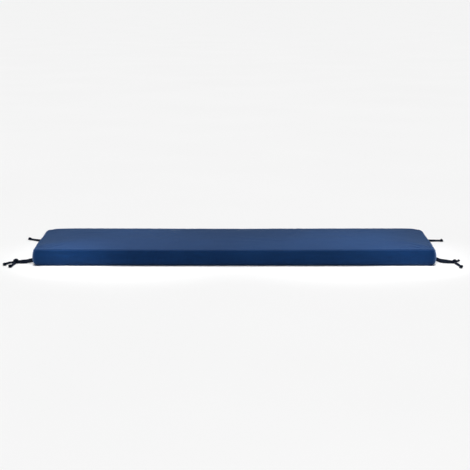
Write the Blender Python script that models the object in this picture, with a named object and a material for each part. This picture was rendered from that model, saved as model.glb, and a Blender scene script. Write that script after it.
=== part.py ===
# A box-edged bench cushion with four corner ties, lying on a floor at z = 0. Lengths are in metres.
# +X runs along the length, +Y to the back, and the origin is under the middle of the cushion.

import math
from collections import namedtuple

import bmesh
import bpy
import numpy as np

# The pad, measured at its seams.
PAD_LENGTH = 1.500
PAD_DEPTH = 0.480
FRONT_CORNER_RADIUS = 0.015
BACK_CORNER_RADIUS = 0.046
SEAM_HEIGHT = 0.0615
CROWN = 0.0142

# The top panel rolls up from its seam, then rises slowly to the crown.
ROLL_WIDTH = 0.020
ROLL_SHARE = 0.24
CROWN_REACH = 0.165

# The top seam hangs a little lower in mid length, and lower still along the two ends.
# The ends stand out a little towards the back.
MID_SAG = 0.0015
DROOP_MIDDLE = 0.050
DROOP_HALF_DEPTH = 0.160
END_BOW = 0.0080

# How finely the pad is cut up.
LONG_STEPS = 44
SHORT_STEPS = 10
CORNER_STEPS = 6

# The flat cloth ties.
TIE_THICKNESS = 0.0028
TIE_SIDES = 10
FLOOR_GAP = 0.0004

End = namedtuple("End", "side droop reach")
ENDS = (
    End(side=-1, droop=0.0065, reach=0.085),
    End(side=+1, droop=0.0055, reach=0.050),
)

# Broad swells and hollows of the top panel: the middle of each one, its half sizes and its height.
Swell = namedtuple("Swell", "x y half_length half_depth height")
SWELLS = (
    Swell(x=-0.400, y=+0.165, half_length=0.170, half_depth=0.080, height=+0.0041),
    Swell(x=+0.330, y=+0.165, half_length=0.190, half_depth=0.080, height=+0.0043),
    Swell(x=-0.040, y=-0.060, half_length=0.260, half_depth=0.110, height=-0.0020),
    Swell(x=-0.520, y=-0.110, half_length=0.120, half_depth=0.070, height=+0.0018),
    Swell(x=+0.560, y=-0.080, half_length=0.140, half_depth=0.090, height=+0.0016),
    Swell(x=+0.170, y=+0.020, half_length=0.110, half_depth=0.120, height=+0.0010),
    Swell(x=-0.655, y=-0.150, half_length=0.085, half_depth=0.060, height=+0.0034),
    Swell(x=+0.665, y=-0.150, half_length=0.080, half_depth=0.060, height=+0.0030),
)

# The boxing from the floor up: height as a share of the seam's height, and how far it stands out there.
Ring = namedtuple("Ring", "share out")
BOXING = (
    Ring(share=0.000, out=-0.0085),
    Ring(share=0.018, out=-0.0054),
    Ring(share=0.050, out=-0.0026),
    Ring(share=0.095, out=-0.0002),
    Ring(share=0.150, out=+0.0022),
    Ring(share=0.240, out=+0.0044),
    Ring(share=0.400, out=+0.0060),
    Ring(share=0.580, out=+0.0060),
    Ring(share=0.760, out=+0.0045),
    Ring(share=0.900, out=+0.0021),
    Ring(share=0.965, out=+0.0004),
    Ring(share=1.000, out=-0.0012),
)
UNDERSIDE_INSETS = (0.105, 0.030)
TOP_INSETS = (0.0030, 0.0070, 0.0125, 0.020, 0.031, 0.047, 0.070, 0.100, 0.135, 0.170, 0.205)

# Routes of the ties, along the middle of each strip. Where z is None the strip lies on the floor.
# The rolls, in degrees, turn the flat strip about its own route.
Strip = namedtuple("Strip", "name start_width end_width tip_width start_roll end_roll route")
STRIPS = (
    Strip(
        name="tie_front_left_strand_a",
        start_width=0.0120,
        end_width=0.0108,
        tip_width=None,
        start_roll=-58,
        end_roll=-66,
        route=(
            (-0.7513, -0.1925, 0.0112),
            (-0.7650, -0.1932, 0.0092),
            (-0.7790, -0.1945, 0.0070),
            (-0.7940, -0.1952, None),
            (-0.8085, -0.1948, None),
        ),
    ),
    Strip(
        name="tie_front_left_strand_b",
        start_width=0.0120,
        end_width=0.0104,
        tip_width=None,
        start_roll=-58,
        end_roll=-66,
        route=(
            (-0.7525, -0.1690, 0.0122),
            (-0.7650, -0.1688, 0.0098),
            (-0.7790, -0.1712, 0.0071),
            (-0.7940, -0.1778, None),
            (-0.8085, -0.1848, None),
        ),
    ),
    Strip(
        name="tie_front_left_end_a",
        start_width=0.0088,
        end_width=0.0086,
        tip_width=0.0135,
        start_roll=-60,
        end_roll=-30,
        route=(
            (-0.8308, -0.1925, 0.0040),
            (-0.8390, -0.1965, None),
            (-0.8480, -0.2080, None),
            (-0.8530, -0.2230, None),
            (-0.8570, -0.2380, None),
        ),
    ),
    Strip(
        name="tie_front_left_end_b",
        start_width=0.0088,
        end_width=0.0086,
        tip_width=0.0140,
        start_roll=-40,
        end_roll=-15,
        route=(
            (-0.8205, -0.2014, 0.0040),
            (-0.8212, -0.2120, None),
            (-0.8245, -0.2330, None),
            (-0.8262, -0.2550, None),
            (-0.8300, -0.2760, None),
        ),
    ),
    Strip(
        name="tie_front_right_strand_a",
        start_width=0.0130,
        end_width=0.0108,
        tip_width=None,
        start_roll=+58,
        end_roll=+68,
        route=(
            (+0.7521, -0.1830, 0.0152),
            (+0.7620, -0.1838, 0.0132),
            (+0.7750, -0.1862, 0.0080),
            (+0.7960, -0.1905, None),
            (+0.8178, -0.1920, None),
        ),
    ),
    Strip(
        name="tie_front_right_strand_b",
        start_width=0.0120,
        end_width=0.0100,
        tip_width=None,
        start_roll=+58,
        end_roll=+68,
        route=(
            (+0.7531, -0.1590, 0.0142),
            (+0.7640, -0.1592, 0.0115),
            (+0.7770, -0.1625, 0.0075),
            (+0.7970, -0.1730, None),
            (+0.8178, -0.1840, None),
        ),
    ),
    Strip(
        name="tie_front_right_end_a",
        start_width=0.0086,
        end_width=0.0088,
        tip_width=0.0140,
        start_roll=+40,
        end_roll=+15,
        route=(
            (+0.8275, -0.1972, 0.0038),
            (+0.8282, -0.2090, None),
            (+0.8335, -0.2340, None),
            (+0.8370, -0.2600, None),
            (+0.8362, -0.2880, None),
        ),
    ),
    Strip(
        name="tie_front_right_end_b",
        start_width=0.0080,
        end_width=0.0088,
        tip_width=None,
        start_roll=+45,
        end_roll=+50,
        route=(
            (+0.8374, -0.1838, 0.0066),
            (+0.8420, -0.1798, 0.0078),
            (+0.8465, -0.1742, 0.0092),
        ),
    ),
    Strip(
        name="tie_back_left",
        start_width=0.0125,
        end_width=0.0090,
        tip_width=0.0135,
        start_roll=-82,
        end_roll=-20,
        route=(
            (-0.7425, +0.2300, 0.0120),
            (-0.7490, +0.2385, 0.0100),
            (-0.7620, +0.2530, None),
            (-0.7910, +0.2800, None),
            (-0.8220, +0.3080, None),
            (-0.8450, +0.3250, None),
        ),
    ),
    Strip(
        name="tie_back_right",
        start_width=0.0125,
        end_width=0.0090,
        tip_width=0.0135,
        start_roll=+82,
        end_roll=+20,
        route=(
            (+0.7426, +0.2301, 0.0120),
            (+0.7495, +0.2385, 0.0100),
            (+0.7640, +0.2540, None),
            (+0.7910, +0.2760, None),
            (+0.8210, +0.2840, None),
            (+0.8520, +0.2830, None),
        ),
    ),
)

# A knotted tip: distance back from the tip, and how much of the tip's swelling is there.
Tip = namedtuple("Tip", "back share")
TIPS = (
    Tip(back=0.0000, share=0.45),
    Tip(back=0.0015, share=0.85),
    Tip(back=0.0040, share=1.00),
    Tip(back=0.0080, share=0.96),
    Tip(back=0.0110, share=0.60),
    Tip(back=0.0135, share=0.05),
    Tip(back=0.0200, share=0.00),
)
TIP_THICKNESS_SHARE = 0.80

# The knots that join two strands and their free ends.
Knot = namedtuple("Knot", "name x y half_length half_depth half_height")
KNOTS = (
    Knot("tie_front_left_knot", -0.8195, -0.1900, 0.0104, 0.0110, 0.0094),
    Knot("tie_front_right_knot", +0.8265, -0.1880, 0.0082, 0.0090, 0.0080),
)
KNOT_RINGS = 12
KNOT_SIDES = 20
KNOT_BOXINESS = 0.62

# Colour, roughness and metallic of each material.
Finish = namedtuple("Finish", "name colour roughness metallic")
PAD_FINISH = Finish("navy_cover", (0.012, 0.046, 0.150), 0.62, 0.0)
TIE_FINISH = Finish("navy_tape", (0.010, 0.017, 0.034), 0.72, 0.0)


def smooth_step(value):
    value = min(max(value, 0.0), 1.0)
    return value * value * (3 - 2 * value)


def make_material(finish):
    material = bpy.data.materials.new(finish.name)
    material.use_nodes = True
    shader = material.node_tree.nodes["Principled BSDF"]
    shader.inputs["Base Color"].default_value = (*finish.colour, 1.0)
    shader.inputs["Roughness"].default_value = finish.roughness
    shader.inputs["Metallic"].default_value = finish.metallic
    return material


def add_node(name, points, faces, material):
    mesh = bpy.data.meshes.new(name)
    mesh.from_pydata([tuple(point) for point in points], [], faces)
    shape = bmesh.new()
    shape.from_mesh(mesh)
    bmesh.ops.remove_doubles(shape, verts=shape.verts, dist=0.00001)
    bmesh.ops.recalc_face_normals(shape, faces=shape.faces)
    bmesh.ops.triangulate(shape, faces=shape.faces)
    shape.to_mesh(mesh)
    shape.free()
    mesh.materials.append(material)
    node = bpy.data.objects.new(name, mesh)
    bpy.context.scene.collection.objects.link(node)
    return node


def end_bow(y):
    return END_BOW * (smooth_step((y + 0.24) / 0.24) - 0.5)


def pad_outline():
    # Points round the seam, anticlockwise from the front left corner. Each comes with its outward direction
    # and with the place on the spine, along the pad's middle, towards which it moves in.
    spine_half = (PAD_LENGTH - PAD_DEPTH) / 2
    corners = ((-1, -1, 180), (+1, -1, 270), (+1, +1, 0), (-1, +1, 90))
    steps_after = (LONG_STEPS, SHORT_STEPS, LONG_STEPS, SHORT_STEPS)
    arcs = []
    for side_x, side_y, start in corners:
        radius = BACK_CORNER_RADIUS if side_y > 0 else FRONT_CORNER_RADIUS
        middle = np.array((side_x * (PAD_LENGTH / 2 - radius), side_y * (PAD_DEPTH / 2 - radius)))
        arc = []
        for step in range(CORNER_STEPS + 1):
            angle = math.radians(start + 90 * step / CORNER_STEPS)
            out = np.array((math.cos(angle), math.sin(angle)))
            point = middle + radius * out
            point[0] += out[0] * end_bow(point[1])
            arc.append((point, out, np.array((side_x * spine_half, 0.0))))
        arcs.append(arc)
    outline = []
    for index, arc in enumerate(arcs):
        outline += arc
        here, out, spine = arc[-1]
        there, _, spine_there = arcs[(index + 1) % 4][0]
        for step in range(1, steps_after[index]):
            part = step / steps_after[index]
            point = here + (there - here) * part
            if index % 2 == 1:
                point[0] = out[0] * (PAD_LENGTH / 2 + end_bow(point[1]))
            outline.append((point, out, spine + (spine_there - spine) * part))
    return outline


def seam_height(x, y):
    sag = MID_SAG * math.cos(math.pi * x / PAD_LENGTH) ** 2
    height = SEAM_HEIGHT - sag
    share = math.exp(-(((y - DROOP_MIDDLE) / DROOP_HALF_DEPTH) ** 2))
    for end in ENDS:
        distance = PAD_LENGTH / 2 - end.side * x
        height -= end.droop * share * math.exp(-((max(distance, 0.0) / end.reach) ** 2))
    return height


def top_height(x, y, inset):
    roll = 1 - math.exp(-inset / ROLL_WIDTH)
    rise = CROWN * (ROLL_SHARE * roll + (1 - ROLL_SHARE) * smooth_step(inset / CROWN_REACH))
    for swell in SWELLS:
        along = (x - swell.x) / swell.half_length
        across = (y - swell.y) / swell.half_depth
        rise += swell.height * roll * math.exp(-along * along - across * across)
    return seam_height(x, y) + rise


def make_pad():
    # Rings from the spine of the underside, out and up the boxing, and in to the spine of the top.
    outline = pad_outline()
    half_depth = PAD_DEPTH / 2

    def inset_ring(inset, height):
        ring = []
        for point, _, spine in outline:
            x, y = point + (spine - point) * inset / half_depth
            ring.append((x, y, height(x, y)))
        return ring

    rings = [inset_ring(inset, lambda x, y: 0.0) for inset in (half_depth, *UNDERSIDE_INSETS)]
    for row in BOXING:
        ring = []
        for point, out, _ in outline:
            x, y = point + out * row.out
            ring.append((x, y, row.share * seam_height(*point)))
        rings.append(ring)
    for inset in (*TOP_INSETS, half_depth):
        rings.append(inset_ring(inset, lambda x, y, inset=inset: top_height(x, y, inset)))

    count = len(outline)
    points = [point for ring in rings for point in ring]
    faces = []
    for ring in range(len(rings) - 1):
        for step in range(count):
            ahead = (step + 1) % count
            here = ring * count
            there = here + count
            faces.append((here + step, here + ahead, there + ahead, there + step))
    return points, faces


def route_curve(route, spacing):
    # A smooth curve through the route's points, as evenly spaced points.
    stops = [np.array(point, float) for point in route]
    padded = [2 * stops[0] - stops[1], *stops, 2 * stops[-1] - stops[-2]]
    fine = []
    for before, start, end, after in zip(padded, padded[1:], padded[2:], padded[3:]):
        for step in range(24):
            t = step / 24
            fine.append(
                0.5
                * (
                    2 * start
                    + (end - before) * t
                    + (2 * before - 5 * start + 4 * end - after) * t**2
                    + (3 * start - before - 3 * end + after) * t**3
                )
            )
    fine.append(stops[-1])
    fine = np.array(fine)
    along = np.concatenate(([0.0], np.cumsum(np.linalg.norm(np.diff(fine, axis=0), axis=1))))
    count = max(4, round(along[-1] / spacing))
    wanted = np.linspace(0.0, along[-1], count + 1)
    curve = np.stack([np.interp(wanted, along, fine[:, axis]) for axis in range(3)], axis=1)
    return curve, wanted


def make_strip(strip):
    route = [(x, y, 0.0 if z is None else z) for x, y, z in strip.route]
    spacing = 0.0045 if strip.tip_width is None else 0.0030
    curve, along = route_curve(route, spacing)
    length = along[-1]
    points = []
    for index, middle in enumerate(curve):
        ahead = curve[min(index + 1, len(curve) - 1)] - curve[max(index - 1, 0)]
        ahead = ahead / np.linalg.norm(ahead)
        side = np.cross((0.0, 0.0, 1.0), ahead)
        side = side / np.linalg.norm(side)
        up = np.cross(ahead, side)
        part = along[index] / length
        roll = math.radians(strip.start_roll + (strip.end_roll - strip.start_roll) * part)
        flat_side, flat_up = side, up
        side = flat_side * math.cos(roll) + flat_up * math.sin(roll)
        up = flat_up * math.cos(roll) - flat_side * math.sin(roll)
        width = strip.start_width + (strip.end_width - strip.start_width) * part
        thickness = TIE_THICKNESS
        if strip.tip_width is not None:
            back = length - along[index]
            share = np.interp(back, [tip.back for tip in TIPS], [tip.share for tip in TIPS])
            width += (strip.tip_width - width) * share
            thickness += (strip.tip_width * TIP_THICKNESS_SHARE - thickness) * share
        middle = middle.copy()
        drop = abs(side[2]) * width / 2 + abs(up[2]) * thickness / 2
        middle[2] = max(middle[2], FLOOR_GAP + drop)
        for step in range(TIE_SIDES):
            angle = 2 * math.pi * (step + 0.5) / TIE_SIDES
            across = math.copysign(abs(math.cos(angle)) ** 0.75, math.cos(angle)) * width / 2
            over = math.copysign(abs(math.sin(angle)) ** 0.75, math.sin(angle)) * thickness / 2
            point = middle + across * side + over * up
            point[2] = max(point[2], FLOOR_GAP)
            points.append(point)
    faces = [tuple(reversed(range(TIE_SIDES)))]
    last = len(curve) - 1
    for ring in range(last):
        for step in range(TIE_SIDES):
            ahead = (step + 1) % TIE_SIDES
            here = ring * TIE_SIDES
            there = here + TIE_SIDES
            faces.append((here + step, here + ahead, there + ahead, there + step))
    faces.append(tuple(range(last * TIE_SIDES, (last + 1) * TIE_SIDES)))
    return points, faces


def make_knot(knot):
    # A boxy lump with a band wrapped slantwise round it.
    points = []
    for ring in range(KNOT_RINGS + 1):
        rise = math.pi * (ring / KNOT_RINGS - 0.5)
        for step in range(KNOT_SIDES):
            turn = 2 * math.pi * step / KNOT_SIDES
            out = abs(math.cos(rise)) ** KNOT_BOXINESS
            x = math.copysign(abs(math.cos(turn)) ** KNOT_BOXINESS, math.cos(turn)) * out
            y = math.copysign(abs(math.sin(turn)) ** KNOT_BOXINESS, math.sin(turn)) * out
            z = math.copysign(abs(math.sin(rise)) ** KNOT_BOXINESS, math.sin(rise))
            wrap = math.exp(-(((x * 0.8 + y * 0.6) / 0.38) ** 2))
            swell = 0.84 + 0.16 * wrap
            points.append(
                (
                    knot.x + knot.half_length * x * (0.94 + 0.06 * wrap),
                    knot.y + knot.half_depth * y * (0.94 + 0.06 * wrap),
                    FLOOR_GAP + knot.half_height * (1 + z * swell),
                )
            )
    faces = []
    for ring in range(KNOT_RINGS):
        for step in range(KNOT_SIDES):
            ahead = (step + 1) % KNOT_SIDES
            here = ring * KNOT_SIDES
            there = here + KNOT_SIDES
            faces.append((here + step, here + ahead, there + ahead, there + step))
    return points, faces


def main():
    for old in list(bpy.data.objects):
        bpy.data.objects.remove(old)
    cover = make_material(PAD_FINISH)
    tape = make_material(TIE_FINISH)
    add_node("cushion", *make_pad(), cover)
    for strip in STRIPS:
        add_node(strip.name, *make_strip(strip), tape)
    for knot in KNOTS:
        add_node(knot.name, *make_knot(knot), tape)


main()
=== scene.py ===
import math

import bmesh
import bpy
import numpy as np
from mathutils import Matrix, Vector


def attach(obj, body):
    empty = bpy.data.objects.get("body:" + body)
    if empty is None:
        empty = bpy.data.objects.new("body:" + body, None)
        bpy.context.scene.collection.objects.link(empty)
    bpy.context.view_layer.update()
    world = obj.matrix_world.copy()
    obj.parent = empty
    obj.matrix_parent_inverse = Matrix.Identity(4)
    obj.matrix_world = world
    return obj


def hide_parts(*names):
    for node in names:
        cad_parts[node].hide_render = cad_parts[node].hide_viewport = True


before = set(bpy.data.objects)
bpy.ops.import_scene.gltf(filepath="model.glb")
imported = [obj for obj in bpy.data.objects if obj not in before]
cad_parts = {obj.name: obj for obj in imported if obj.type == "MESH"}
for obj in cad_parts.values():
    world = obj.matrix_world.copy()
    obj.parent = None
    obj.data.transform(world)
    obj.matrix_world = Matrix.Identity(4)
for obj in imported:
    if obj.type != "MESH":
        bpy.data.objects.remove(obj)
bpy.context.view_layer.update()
print("frame loaded")


def table(names, *rows):
    # One dictionary for each row, with the names as its keys.
    return [dict(zip(names.split(), row)) for row in rows]


def placeObject(name, data):
    piece = bpy.data.objects.new(name, data)
    bpy.context.scene.collection.objects.link(piece)
    return piece


# Lengths are in metres. The lens looks down a little, in degrees, from in front of the long side.
camera = {
    "x": 0.0026,
    "y": -5.379,
    "height": 0.9955,
    "tilt": 9.702,
    "focalPixels": 1407.8,
    "pictureWidth": 470,
    "sensorWidth": 36,
    "sight": 2000,
}


def makeCamera():
    data = bpy.data.cameras.new("camera")
    data.sensor_width = camera["sensorWidth"]
    data.lens = camera["focalPixels"] * camera["sensorWidth"] / camera["pictureWidth"]
    data.clip_end = camera["sight"]
    eye = placeObject("camera", data)
    eye.location = (camera["x"], camera["y"], camera["height"])
    eye.rotation_euler = (math.radians(90 - camera["tilt"]), 0, 0)
    bpy.context.scene.camera = eye


makeCamera()
print("camera made")


class Field:
    # A socket that can be used in sums.
    def __init__(self, tree, socket):
        self.tree = tree
        self.socket = socket

    def __add__(self, other):
        return calc(self.tree, "ADD", self, other)

    def __radd__(self, other):
        return calc(self.tree, "ADD", other, self)

    def __sub__(self, other):
        return calc(self.tree, "SUBTRACT", self, other)

    def __rsub__(self, other):
        return calc(self.tree, "SUBTRACT", other, self)

    def __mul__(self, other):
        return calc(self.tree, "MULTIPLY", self, other)

    def __rmul__(self, other):
        return calc(self.tree, "MULTIPLY", other, self)

    def __truediv__(self, other):
        return calc(self.tree, "DIVIDE", self, other)

    def __rtruediv__(self, other):
        return calc(self.tree, "DIVIDE", other, self)

    def __pow__(self, other):
        return calc(self.tree, "POWER", self, other)


def feed(tree, socket, value):
    if isinstance(value, Field):
        tree.links.new(value.socket, socket)
    elif isinstance(value, bpy.types.NodeSocket):
        tree.links.new(value, socket)
    else:
        socket.default_value = value


def addNode(tree, kind, settings=None, values=None, output=0):
    # Values are keyed by the socket's name or its place, and a Field on one of the outputs comes back.
    node = tree.nodes.new(kind)
    for key, value in (settings or {}).items():
        setattr(node, key, value)
    for key, value in (values or {}).items():
        feed(tree, node.inputs[key], value)
    return Field(tree, node.outputs[output])


def calc(tree, operation, *values):
    return addNode(tree, "ShaderNodeMath", {"operation": operation}, dict(enumerate(values)))


def vectorCalc(tree, operation, *values, output=0):
    return addNode(tree, "ShaderNodeVectorMath", {"operation": operation}, dict(enumerate(values)), output)


def splitVector(tree, vector):
    node = addNode(tree, "ShaderNodeSeparateXYZ", {}, {0: vector}).socket.node
    return [Field(tree, socket) for socket in node.outputs]


def mixColours(tree, share, first, second):
    colours = {6: (*first, 1) if isinstance(first, tuple) else first, 7: (*second, 1)}
    return addNode(tree, "ShaderNodeMix", {"data_type": "RGBA"}, {0: share, **colours}, 2)


def addNoise(tree, place, scale, detail, seed=None, roughness=0.5):
    settings = {} if seed is None else {"noise_dimensions": "4D"}
    values = {"Vector": place, "Scale": scale, "Detail": detail, "Roughness": roughness}
    if seed is not None:
        values["W"] = seed
    return addNode(tree, "ShaderNodeTexNoise", settings, values)


def bell(tree, distance, width):
    # One at no distance, and next to nothing two widths away.
    return calc(tree, "EXPONENT", (distance / width) ** 2.0 * -1.0)


def fallOff(tree, distance, width):
    # One at no distance, and about a third at one width.
    return calc(tree, "EXPONENT", distance / width * -1.0)


def startMaterial(name):
    material = bpy.data.materials.new(name)
    material.use_nodes = True
    tree = material.node_tree
    return material, tree, tree.nodes["Principled BSDF"]


# Plain woven cloth, in threads of its real pitch. Colours are linear.
# Each seam has its attribute, half the width of the painted shade in its joint, and how pale the ridge beside
# it is rubbed.
coverCloth = {
    "name": "coverCloth",
    "colour": (0.0040, 0.0336, 0.1250),
    "gapColour": (0.0014, 0.0138, 0.0550),
    "fadeColour": (0.0095, 0.0470, 0.1560),
    "threadPitch": 0.0009,
    "weaveDepth": 0.00030,
    "streaks": 1.2,
    "roughness": 0.62,
    "sheen": 0.80,
    "sheenRoughness": 0.42,
    "sheenTint": (0.40, 0.60, 1.0),
    "patchSize": 0.35,
    "seams": (("seamGap", 0.0009, 0.22), ("lowerGap", 0.0024, 0.0)),
}
tapeCloth = {
    "name": "tapeCloth",
    # The tape's colours are darker than the cover's: partly its own darker cloth, partly painted shade
    # standing in for the shade that the ties lie in.
    "colour": (0.0075, 0.0125, 0.0250),
    "gapColour": (0.0030, 0.0050, 0.0110),
    "fadeColour": (0.0120, 0.0190, 0.0360),
    "threadPitch": 0.0007,
    "weaveDepth": 0.00014,
    "streaks": 0.5,
    "roughness": 0.72,
    "sheen": 0.06,
    "sheenRoughness": 0.50,
    "sheenTint": (0.62, 0.72, 0.95),
    "patchSize": 0.03,
    "seams": (),
}
# What both cloths have in common: sizes in metres, and the rest as shares.
weaving = {
    "wanderScale": 55.0,
    "wander": 0.9,
    "dive": 0.45,
    "slubLength": 0.02,
    "streakWidth": 0.0012,
    "streakLength": 0.050,
    "fadeFrom": 0.45,
    "fadeGrowth": 1.6,
    # How deep the painted shade down in the seams' joints is.
    "paintedSeamShade": 0.8,
    "rubAt": 0.006,
    "rubWidth": 0.004,
    "bump": 0.8,
    "roughPlay": 0.16,
    "smoothCrown": 0.05,
    "specular": 0.03,
}


def makeCloth(cloth):
    material, tree, shader = startMaterial(cloth["name"])
    # The weave map is in metres along the two sets of threads.
    threads = addNode(tree, "ShaderNodeUVMap", {"uv_map": "weave"})
    place = addNode(tree, "ShaderNodeTexCoord", output=3)
    pitch = cloth["threadPitch"]
    # Threads wander a little from their straight lines.
    drift = (addNoise(tree, place, weaving["wanderScale"], 2.0) - 0.5) * weaving["wander"]
    along, across = [side / pitch + drift for side in splitVector(tree, threads)[:2]]
    alongRound = calc(tree, "SINE", calc(tree, "FRACT", along) * math.pi)
    acrossRound = calc(tree, "SINE", calc(tree, "FRACT", across) * math.pi)
    turn = calc(tree, "FLOOR", along) + calc(tree, "FLOOR", across)
    over = calc(tree, "FLOORED_MODULO", turn, 2.0)
    warp = alongRound * (acrossRound * weaving["dive"] + (1 - weaving["dive"]))
    weft = acrossRound * (alongRound * weaving["dive"] + (1 - weaving["dive"]))
    weave = warp * over + weft * (1.0 - over)
    # Slubs: thick and thin stretches of single threads.
    stretched = vectorCalc(tree, "MULTIPLY", threads, (1 / weaving["slubLength"], 1 / pitch, 1.0))
    slub = addNoise(tree, stretched, 1.0, 1.0)
    patch = addNoise(tree, place, 1 / cloth["patchSize"], 3.0)
    fade = calc(tree, "SMOOTH_MAX", (patch - weaving["fadeFrom"]) * weaving["fadeGrowth"], 0.0, 0.1)
    # Streaks along single threads, both ways, which show at arm's length.
    streaks = 0.0
    fine, long = 1 / weaving["streakWidth"], 1 / weaving["streakLength"]
    for scale in ((fine, long, 1.0), (long, fine, 1.0)):
        streaks = streaks + addNoise(tree, vectorCalc(tree, "MULTIPLY", threads, scale), 1.0, 2.0)
    shade = weave * 0.75 + slub * 0.25 + (streaks - 1.0) * cloth["streaks"]
    # Down in a seam's joint the colour is darkened as painted shade of the crevice, wider along the lower
    # seam where it tucks under, and the ridge beside the top seam is rubbed a little paler.
    for name, paintedShadeWidth, rubbed in cloth["seams"]:
        gap = addNode(tree, "ShaderNodeAttribute", {"attribute_name": name}, output=2)
        shade = shade - bell(tree, gap, paintedShadeWidth) * weaving["paintedSeamShade"]
        fade = fade + bell(tree, gap - weaving["rubAt"], weaving["rubWidth"]) * rubbed
    threadColour = mixColours(tree, shade, cloth["gapColour"], cloth["colour"])
    colour = mixColours(tree, calc(tree, "MINIMUM", fade, 1.0), threadColour, cloth["fadeColour"])
    lift = weave * 0.8 + slub * 0.35
    height = {"Strength": weaving["bump"], "Distance": cloth["weaveDepth"], "Height": lift}
    roughness = cloth["roughness"] + (patch - 0.5) * weaving["roughPlay"] - weave * weaving["smoothCrown"]
    feed(tree, shader.inputs["Base Color"], colour)
    feed(tree, shader.inputs["Normal"], addNode(tree, "ShaderNodeBump", {}, height))
    feed(tree, shader.inputs["Roughness"], roughness)
    shader.inputs["Sheen Weight"].default_value = cloth["sheen"]
    shader.inputs["Sheen Roughness"].default_value = cloth["sheenRoughness"]
    shader.inputs["Sheen Tint"].default_value = (*cloth["sheenTint"], 1)
    shader.inputs["Specular IOR Level"].default_value = weaving["specular"]
    return material


coverMaterial = makeCloth(coverCloth)
tapeMaterial = makeCloth(tapeCloth)
print("cloth made")


def startMesh(name, points, edges, faces):
    mesh = bpy.data.meshes.new(name)
    mesh.from_pydata([tuple(map(float, point)) for point in points], edges, faces)
    return mesh


def faceOut(mesh, mostCorners=None):
    # Turns the faces outwards, and splits the ones that have more corners than that.
    shape = bmesh.new()
    shape.from_mesh(mesh)
    bmesh.ops.recalc_face_normals(shape, faces=shape.faces)
    if mostCorners:
        wide = [face for face in shape.faces if len(face.verts) > mostCorners]
        bmesh.ops.triangulate(shape, faces=wide)
    shape.to_mesh(mesh)
    shape.free()


def finishMesh(name, points, faces, material, maps=None):
    mesh = startMesh(name, points, [], faces)
    if maps is not None:
        layer = mesh.uv_layers.new(name="weave")
        layer.data.foreach_set("uv", np.asarray(maps, np.float32).ravel())
    faceOut(mesh)
    mesh.polygons.foreach_set("use_smooth", [True] * len(mesh.polygons))
    mesh.materials.append(material)
    return placeObject(name, mesh)


def unit(vectors):
    return vectors / np.linalg.norm(vectors, axis=-1, keepdims=True)


def hump(distance, width):
    return np.exp(-((distance / width) ** 2))


def flatMap(points):
    return [(point[0], point[1]) for point in points]


def smoothRoute(route, spacing):
    # A smooth curve through the route's points, evenly spaced.
    stops = [np.array(point, float) for point in route]
    padded = [2 * stops[0] - stops[1], *stops, 2 * stops[-1] - stops[-2]]
    fine = []
    t = np.linspace(0, 1, 24, endpoint=False)[:, None]
    for before, start, end, after in zip(padded, padded[1:], padded[2:], padded[3:]):
        squared = (2 * before - 5 * start + 4 * end - after) * t**2
        cubed = (3 * start - before - 3 * end + after) * t**3
        fine.append(0.5 * (2 * start + (end - before) * t + squared + cubed))
    fine = np.concatenate([*fine, stops[-1][None]])
    along = np.concatenate([[0.0], np.cumsum(np.linalg.norm(np.diff(fine, axis=0), axis=1))])
    wanted = np.linspace(0, along[-1], max(4, round(along[-1] / spacing)) + 1)
    curve = [np.interp(wanted, along, fine[:, axis]) for axis in range(fine.shape[1])]
    return np.stack(curve, axis=1), wanted


# Ties: flat tapes that leave the boxing near each corner and lie on the floor.
# A tape's line of sewing has its place, width, dip and lift as shares of the tape's own width and thickness,
# and leaves out some rings of the tape at its start and its end.
tape = {
    "thickness": 0.0026,
    "sewnOnWidth": 0.0120,
    "floorGap": 0.0005,
    "sides": 22,
    "spacing": 0.0014,
    "sewnAt": 0.28,
    "sewnWidth": 0.07,
    "sewnDip": 0.30,
    "sewingLift": 0.40,
    "unsewnStart": 6,
    "unsewnEnd": 10,
    "edgeWave": 0.035,
}
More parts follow.
